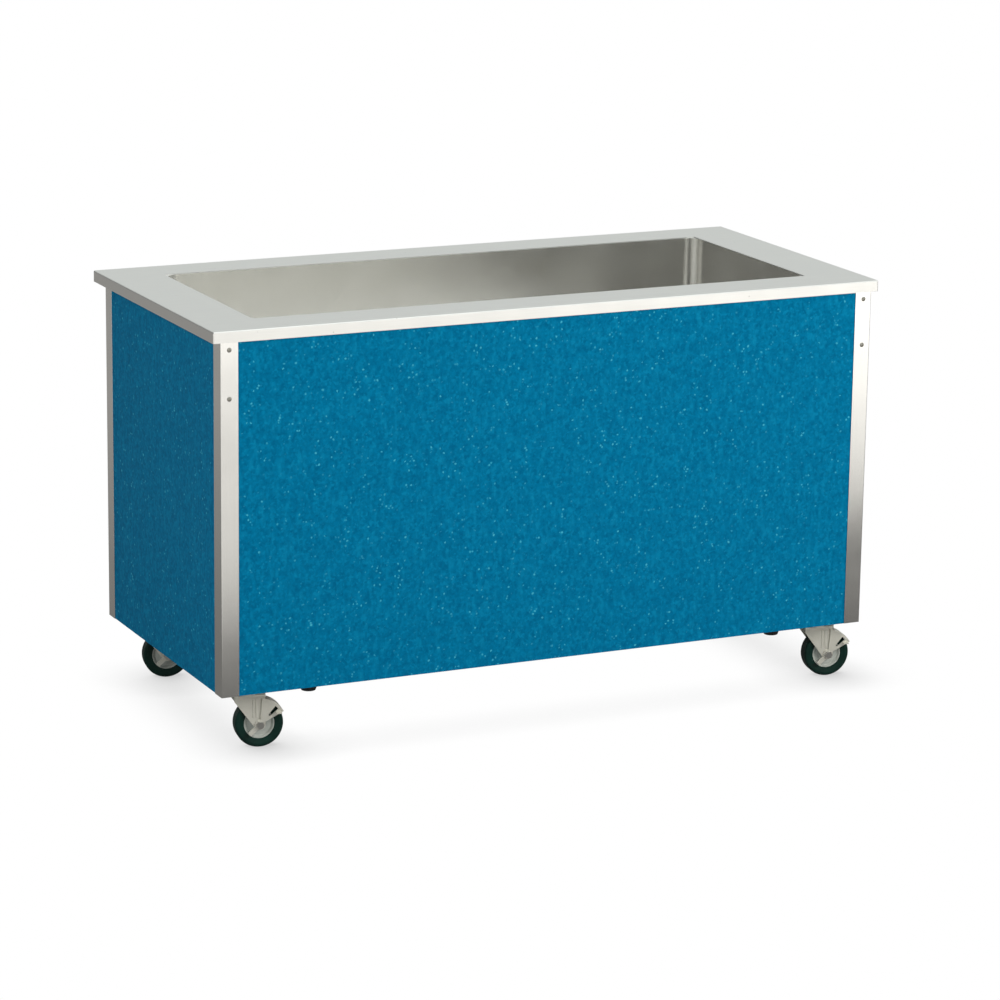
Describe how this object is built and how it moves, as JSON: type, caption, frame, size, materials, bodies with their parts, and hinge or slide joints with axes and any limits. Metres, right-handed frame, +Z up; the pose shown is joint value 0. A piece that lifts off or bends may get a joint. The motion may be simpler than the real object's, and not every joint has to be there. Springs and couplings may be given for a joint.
{
  "type": "mobile salad bar",
  "caption": "Laminate-clad mobile salad bar: a stainless counter with one long open ice well and drain valve, on a cabinet with open back storage and braked swivel casters.",
  "frame": {"origin": "on the floor under the centre of the counter", "axes": "+X along the counter to the right as the customer sees it, -Y towards the customer (the clad front), +Y towards the open back, +Z up"},
  "size_m": [1.524, 0.711, 0.889],
  "materials": {
    "stainless_counter": "satin",
    "stainless_well": "satin",
    "stainless_trim": "satin",
    "galvanised_frame": "satin",
    "galvanised_casing": "satin",
    "blue_laminate_board": "satin",
    "rigid_foam": "matte",
    "drain_steel": "satin",
    "valve_brass": "satin",
    "valve_ball_chrome": "polished",
    "lever_vinyl": "satin",
    "pipe_brass": "satin",
    "zinc_caster": "satin",
    "bearing_steel": "polished",
    "bolt_steel": "satin",
    "hub_plastic": "satin",
    "tyre_rubber": "matte",
    "pad_rubber": "matte"
  },
  "bodies": {
    "root": {"counter_top": "stainless_counter", "well_liner": "stainless_well", "well_insulation": "rigid_foam", "well_casing": "galvanised_casing", "drain_fitting": "drain_steel", "drain_locknut": "drain_steel", "drain_strainer": "drain_steel", "valve_body": "valve_brass", "drain_outlet": "pipe_brass", "front_left_post": "stainless_trim", "back_left_post": "stainless_trim", "front_right_post": "stainless_trim", "back_right_post": "stainless_trim", "front_panel": "blue_laminate_board", "left_panel": "blue_laminate_board", "right_panel": "blue_laminate_board", "post_screws": "stainless_trim", "front_top_rail": "galvanised_frame", "back_top_rail": "galvanised_frame", "left_top_rail": "galvanised_frame", "right_top_rail": "galvanised_frame", "left_bolster": "galvanised_frame", "right_bolster": "galvanised_frame", "front_base_rail": "galvanised_frame", "back_base_rail": "galvanised_frame", "bottom_shelf": "stainless_trim", "rest_pads": "pad_rubber", "caster_bolts": "bolt_steel", "front_left_caster_plate": "zinc_caster", "front_right_caster_plate": "zinc_caster", "back_left_caster_plate": "zinc_caster", "back_right_caster_plate": "zinc_caster"},
    "front_left_swivel": {"front_left_ball_race": "bearing_steel", "front_left_fork": "zinc_caster", "front_left_axle": "bolt_steel"},
    "front_left_wheel": {"front_left_hub": "hub_plastic", "front_left_tyre": "tyre_rubber"},
    "front_left_brake_lever": {"front_left_brake": "zinc_caster"},
    "front_right_swivel": {"front_right_ball_race": "bearing_steel", "front_right_fork": "zinc_caster", "front_right_axle": "bolt_steel"},
    "front_right_wheel": {"front_right_hub": "hub_plastic", "front_right_tyre": "tyre_rubber"},
    "front_right_brake_lever": {"front_right_brake": "zinc_caster"},
    "back_left_swivel": {"back_left_ball_race": "bearing_steel", "back_left_fork": "zinc_caster", "back_left_axle": "bolt_steel"},
    "back_left_wheel": {"back_left_hub": "hub_plastic", "back_left_tyre": "tyre_rubber"},
    "back_left_brake_lever": {"back_left_brake": "zinc_caster"},
    "back_right_swivel": {"back_right_ball_race": "bearing_steel", "back_right_fork": "zinc_caster", "back_right_axle": "bolt_steel"},
    "back_right_wheel": {"back_right_hub": "hub_plastic", "back_right_tyre": "tyre_rubber"},
    "back_right_brake_lever": {"back_right_brake": "zinc_caster"},
    "valve_handle": {"valve_ball": "valve_ball_chrome", "valve_lever": "lever_vinyl"}
  },
  "joints": [
    {"name": "front_left_caster_swivel", "type": "hinge", "parent": "root", "child": "front_left_swivel", "pos_m": [-0.67, -0.2859, 0.1166], "axis": [0, 0, 1], "continuous": true},
    {"name": "front_left_wheel_spin", "type": "hinge", "parent": "front_left_swivel", "child": "front_left_wheel", "pos_m": [-0.64243, -0.29076, 0.0508], "axis": [0.1736, 0.9848, 0], "continuous": true},
    {"name": "front_left_brake_pedal", "type": "hinge", "parent": "front_left_swivel", "child": "front_left_brake_lever", "pos_m": [-0.64243, -0.29076, 0.0508], "axis": [0.1736, 0.9848, 0], "range_deg": [0, 25]},
    {"name": "front_right_caster_swivel", "type": "hinge", "parent": "root", "child": "front_right_swivel", "pos_m": [0.67, -0.2859, 0.1166], "axis": [0, 0, 1], "continuous": true},
    {"name": "front_right_wheel_spin", "type": "hinge", "parent": "front_right_swivel", "child": "front_right_wheel", "pos_m": [0.69757, -0.29076, 0.0508], "axis": [0.1736, 0.9848, 0], "continuous": true},
    {"name": "front_right_brake_pedal", "type": "hinge", "parent": "front_right_swivel", "child": "front_right_brake_lever", "pos_m": [0.69757, -0.29076, 0.0508], "axis": [0.1736, 0.9848, 0], "range_deg": [0, 25]},
    {"name": "back_left_caster_swivel", "type": "hinge", "parent": "root", "child": "back_left_swivel", "pos_m": [-0.67, 0.2575, 0.1166], "axis": [0, 0, 1], "continuous": true},
    {"name": "back_left_wheel_spin", "type": "hinge", "parent": "back_left_swivel", "child": "back_left_wheel", "pos_m": [-0.64243, 0.25264, 0.0508], "axis": [0.1736, 0.9848, 0], "continuous": true},
    {"name": "back_left_brake_pedal", "type": "hinge", "parent": "back_left_swivel", "child": "back_left_brake_lever", "pos_m": [-0.64243, 0.25264, 0.0508], "axis": [0.1736, 0.9848, 0], "range_deg": [0, 25]},
    {"name": "back_right_caster_swivel", "type": "hinge", "parent": "root", "child": "back_right_swivel", "pos_m": [0.67, 0.2575, 0.1166], "axis": [0, 0, 1], "continuous": true},
    {"name": "back_right_wheel_spin", "type": "hinge", "parent": "back_right_swivel", "child": "back_right_wheel", "pos_m": [0.69757, 0.25264, 0.0508], "axis": [0.1736, 0.9848, 0], "continuous": true},
    {"name": "back_right_brake_pedal", "type": "hinge", "parent": "back_right_swivel", "child": "back_right_brake_lever", "pos_m": [0.69757, 0.25264, 0.0508], "axis": [0.1736, 0.9848, 0], "range_deg": [0, 25]},
    {"name": "drain_valve_turn", "type": "hinge", "parent": "root", "child": "valve_handle", "pos_m": [0, 0.15, 0.579], "axis": [0, 1, 0], "range_deg": [0, 90]}
  ]
}
